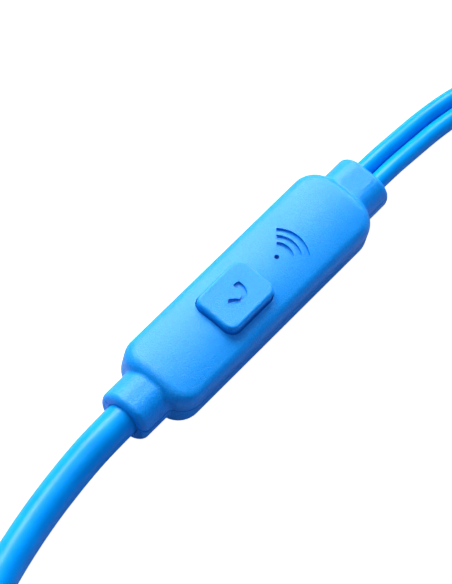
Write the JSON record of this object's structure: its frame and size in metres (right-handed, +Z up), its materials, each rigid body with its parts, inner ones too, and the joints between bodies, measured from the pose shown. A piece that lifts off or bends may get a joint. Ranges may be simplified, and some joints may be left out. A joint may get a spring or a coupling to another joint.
{
  "type": "wired in-ear earphones with in-line microphone",
  "caption": "Wired in-ear earphones with a slim in-line microphone pod, call button, joined leads, round plug and soft-tipped earbuds, put away in tied hanks.",
  "frame": {"origin": "centre of the microphone pod's flat underside, on the surface it lies on", "axes": "+X along the pod from the single lead's collar to the twin leads' collar, +Z up through the button, +Y to the left lead's side"},
  "size_m": [0.1926, 0.0212, 0.0207],
  "materials": {
    "blue_shell": "satin moulded plastic with a fine spark texture",
    "blue_button": "satin moulded plastic with a fine spark texture",
    "blue_cord": "smooth semi-gloss elastomer jacket",
    "board": "solder-masked glass laminate",
    "black_plastic": "black moulded plastic",
    "steel": "thin stamped steel",
    "aluminium_can": "drawn aluminium can",
    "black_rubber": "soft black rubber",
    "chip": "ceramic chip body",
    "solder": "bright solder",
    "brass_clamp": "plain brass",
    "copper": "enamelled copper wire",
    "plug_metal": "nickel-plated contacts",
    "silicone_tip": "translucent soft silicone",
    "tie_band": "flat elastic band",
    "magnet": "plated neodymium",
    "film": "formed polyester film",
    "felt": "thin acoustic felt"
  },
  "bodies": {
    "earphones": {"pod_top_shell": "blue_shell", "pod_bottom_shell": "blue_shell", "circuit_board": "board", "switch_base": "black_plastic", "switch_cover": "steel", "switch_dome": "steel", "microphone_capsule": "aluminium_can", "microphone_gasket": "black_rubber", "microphone_mesh": "steel", "chip_components": "chip", "solder_joints": "solder", "single_lead_end": "blue_cord", "left_lead_end": "blue_cord", "right_lead_end": "blue_cord", "single_lead_clamp": "brass_clamp", "twin_lead_clamp": "brass_clamp", "single_lead_wires": "copper", "twin_lead_wires": "copper", "plug_tip": "plug_metal", "plug_ring_front": "plug_metal", "plug_ring_rear": "plug_metal", "plug_sleeve": "plug_metal", "plug_insulators": "black_plastic", "plug_core": "brass_clamp", "plug_overmould": "blue_shell", "plug_boot": "blue_cord", "single_lead_tube": "blue_cord", "single_lead_hank": "blue_cord", "plug_lead_tube": "blue_cord", "left_lead_tube": "blue_cord", "right_lead_tube": "blue_cord", "twin_lead_hank": "blue_cord", "left_tail_tube": "blue_cord", "right_tail_tube": "blue_cord", "single_hank_tie": "tie_band", "twin_hank_tie": "tie_band", "left_rear_housing": "blue_shell", "left_front_housing": "blue_shell", "left_nozzle_mesh": "steel", "left_driver_frame": "black_plastic", "left_driver_magnet": "magnet", "left_driver_yoke": "steel", "left_rear_damper": "felt", "left_strain_relief": "blue_cord", "right_rear_housing": "blue_shell", "right_front_housing": "blue_shell", "right_nozzle_mesh": "steel", "right_driver_frame": "black_plastic", "right_driver_magnet": "magnet", "right_driver_yoke": "steel", "right_rear_damper": "felt", "right_strain_relief": "blue_cord"},
    "button": {"button_cap": "blue_button"},
    "stem": {"switch_stem": "black_plastic"},
    "left_tip": {"left_ear_tip": "silicone_tip"},
    "right_tip": {"right_ear_tip": "silicone_tip"},
    "left_coil": {"left_voice_coil": "copper", "left_diaphragm": "film"},
    "right_coil": {"right_voice_coil": "copper", "right_diaphragm": "film"}
  },
  "joints": [
    {"name": "button_press", "type": "slide", "parent": "earphones", "child": "button", "axis": [0, 0, -1], "range_m": [0, 0.00025], "stiffness_N_per_m": 300},
    {"name": "stem_press", "type": "slide", "parent": "earphones", "child": "stem", "axis": [0, 0, -1], "range_m": [0, 0.00025], "deforming": ["switch_dome"]},
    {"name": "left_tip_pull", "type": "slide", "parent": "earphones", "child": "left_tip", "axis": [0, 0, 1], "range_m": [0, 0.004]},
    {"name": "right_tip_pull", "type": "slide", "parent": "earphones", "child": "right_tip", "axis": [0, 0, 1], "range_m": [0, 0.004]},
    {"name": "left_coil_stroke", "type": "slide", "parent": "earphones", "child": "left_coil", "axis": [0, 0, 1], "range_m": [-0.0001, 0.0001], "stiffness_N_per_m": 500},
    {"name": "right_coil_stroke", "type": "slide", "parent": "earphones", "child": "right_coil", "axis": [0, 0, 1], "range_m": [-0.0001, 0.0001], "stiffness_N_per_m": 500}
  ],
  "couplings": [
    {"joint": "stem_press", "follows": "button_press", "ratio": 1}
  ]
}
